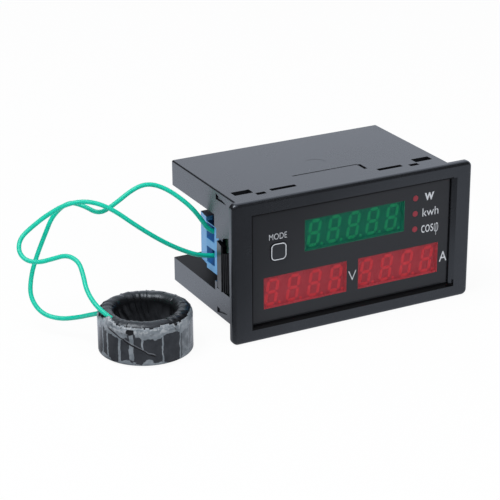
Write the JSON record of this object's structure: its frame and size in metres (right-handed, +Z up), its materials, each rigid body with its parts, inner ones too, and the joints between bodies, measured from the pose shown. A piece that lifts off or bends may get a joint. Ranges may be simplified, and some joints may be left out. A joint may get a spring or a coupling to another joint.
{
  "type": "digital panel power meter",
  "caption": "Snap-in panel meter with a green and two red digit windows, a mode key, screw terminals at each side and a ring current transformer on two wires.",
  "frame": {"origin": "under the middle of the meter, at the level of the bezel's lower edge", "axes": "+X to the right seen from the front, +Y from the display to the rear, +Z up"},
  "size_m": [0.1289, 0.0502, 0.0432],
  "materials": {
    "case_black": "fine satin moulding",
    "clip_black": "satin",
    "smoked_lens": "polished",
    "green_window": "translucent green",
    "red_window": "translucent red",
    "display_housing": "cast",
    "green_light": "milky",
    "red_light": "milky",
    "red_lamp": "tinted resin",
    "key_plastic": "satin",
    "black_moulding": "matte",
    "circuit_board": "solder mask",
    "chip_black": "moulded",
    "tinned_metal": "tinned",
    "zinc_steel": "zinc plated",
    "ferrite": "sintered",
    "coil_tape": "polyester tape",
    "capacitor_sleeve": "shrunk sleeve",
    "film_case": "moulded",
    "varistor_coat": "dipped",
    "fuse_glass": "clear",
    "black_tape": "vinyl tape",
    "clear_tape": "clear tape",
    "copper": "copper",
    "wire_sheath": "extruded",
    "terminal_blue": "moulded nylon"
  },
  "bodies": {
    "meter": {"front_frame": "case_black", "rear_case": "case_black", "display_lens": "smoked_lens", "green_filter": "green_window", "red_filter_left": "red_window", "red_filter_right": "red_window", "green_display_body": "display_housing", "green_display_segments": "green_light", "red_display_left_body": "display_housing", "red_display_left_segments": "red_light", "red_display_right_body": "display_housing", "red_display_right_segments": "red_light", "indicator_leds": "red_lamp", "led_spacer": "black_moulding", "mode_switch_body": "black_moulding", "display_pins": "tinned_metal", "board_header": "tinned_metal", "display_board": "circuit_board", "display_board_screws": "zinc_steel", "display_driver_chip": "chip_black", "controller_chip": "chip_black", "metering_chip": "chip_black", "crystal": "tinned_metal", "burden_resistors": "chip_black", "main_board": "circuit_board", "transformer_core": "ferrite", "transformer_bobbin": "black_moulding", "transformer_coil": "coil_tape", "filter_capacitors": "capacitor_sleeve", "film_capacitor": "film_case", "varistor": "varistor_coat", "fuse": "fuse_glass", "fuse_clips": "tinned_metal", "bridge_rectifier": "chip_black", "voltage_regulator": "chip_black", "terminal_block_left": "terminal_blue", "terminal_contacts_left": "tinned_metal", "terminal_block_right": "terminal_blue", "terminal_contacts_right": "tinned_metal", "ct_black_tape": "black_tape", "ct_winding": "copper", "ct_core": "ferrite", "ct_clear_band": "clear_tape", "ct_wire_upper": "wire_sheath", "ct_wire_lower": "wire_sheath", "ct_conductors": "copper"},
    "mode_key": {"mode_button": "key_plastic", "mode_switch_plunger": "key_plastic"},
    "clip_left": {"side_clip_left": "clip_black"},
    "clip_right": {"side_clip_right": "clip_black"},
    "screw_left_upper": {"terminal_screw_left_upper": "zinc_steel"},
    "clamp_left_upper": {"wire_clamp_left_upper": "zinc_steel"},
    "screw_left_lower": {"terminal_screw_left_lower": "zinc_steel"},
    "clamp_left_lower": {"wire_clamp_left_lower": "zinc_steel"},
    "screw_right_upper": {"terminal_screw_right_upper": "zinc_steel"},
    "clamp_right_upper": {"wire_clamp_right_upper": "zinc_steel"},
    "screw_right_lower": {"terminal_screw_right_lower": "zinc_steel"},
    "clamp_right_lower": {"wire_clamp_right_lower": "zinc_steel"}
  },
  "joints": [
    {"name": "clip_left_flex", "type": "hinge", "parent": "meter", "child": "clip_left", "pos_m": [-0.03455, -0.01865, 0.0216], "axis": [0, 0, -1], "range_deg": [0, 6], "stiffness_Nm_per_rad": 1.2},
    {"name": "clip_right_flex", "type": "hinge", "parent": "meter", "child": "clip_right", "pos_m": [0.03455, -0.01865, 0.0216], "axis": [0, 0, 1], "range_deg": [0, 6], "stiffness_Nm_per_rad": 1.2},
    {"name": "mode_press", "type": "slide", "parent": "meter", "child": "mode_key", "axis": [0, 1, 0], "range_m": [0, 0.0003], "stiffness_N_per_m": 1500, "springref_m": -0.0002},
    {"name": "screw_left_upper_turn", "type": "hinge", "parent": "meter", "child": "screw_left_upper", "pos_m": [-0.0288, 0.00675, 0.02536], "axis": [0, 1, 0], "range_deg": [0, 1800]},
    {"name": "clamp_left_upper_lift", "type": "slide", "parent": "meter", "child": "clamp_left_upper", "axis": [0, -1, 0], "range_m": [0, 0.0025]},
    {"name": "screw_left_lower_turn", "type": "hinge", "parent": "meter", "child": "screw_left_lower", "pos_m": [-0.0288, 0.00675, 0.01784], "axis": [0, 1, 0], "range_deg": [0, 1800]},
    {"name": "clamp_left_lower_lift", "type": "slide", "parent": "meter", "child": "clamp_left_lower", "axis": [0, -1, 0], "range_m": [0, 0.0025]},
    {"name": "screw_right_upper_turn", "type": "hinge", "parent": "meter", "child": "screw_right_upper", "pos_m": [0.0288, 0.00675, 0.02536], "axis": [0, 1, 0], "range_deg": [0, 1800]},
    {"name": "clamp_right_upper_lift", "type": "slide", "parent": "meter", "child": "clamp_right_upper", "axis": [0, -1, 0], "range_m": [0, 0.0025]},
    {"name": "screw_right_lower_turn", "type": "hinge", "parent": "meter", "child": "screw_right_lower", "pos_m": [0.0288, 0.00675, 0.01784], "axis": [0, 1, 0], "range_deg": [0, 1800]},
    {"name": "clamp_right_lower_lift", "type": "slide", "parent": "meter", "child": "clamp_right_lower", "axis": [0, -1, 0], "range_m": [0, 0.0025]}
  ],
  "couplings": [
    {"joint": "screw_left_upper_turn", "follows": "clamp_left_upper_lift", "rad_per_m": 12566},
    {"joint": "screw_left_lower_turn", "follows": "clamp_left_lower_lift", "rad_per_m": 12566},
    {"joint": "screw_right_upper_turn", "follows": "clamp_right_upper_lift", "rad_per_m": 12566},
    {"joint": "screw_right_lower_turn", "follows": "clamp_right_lower_lift", "rad_per_m": 12566}
  ]
}
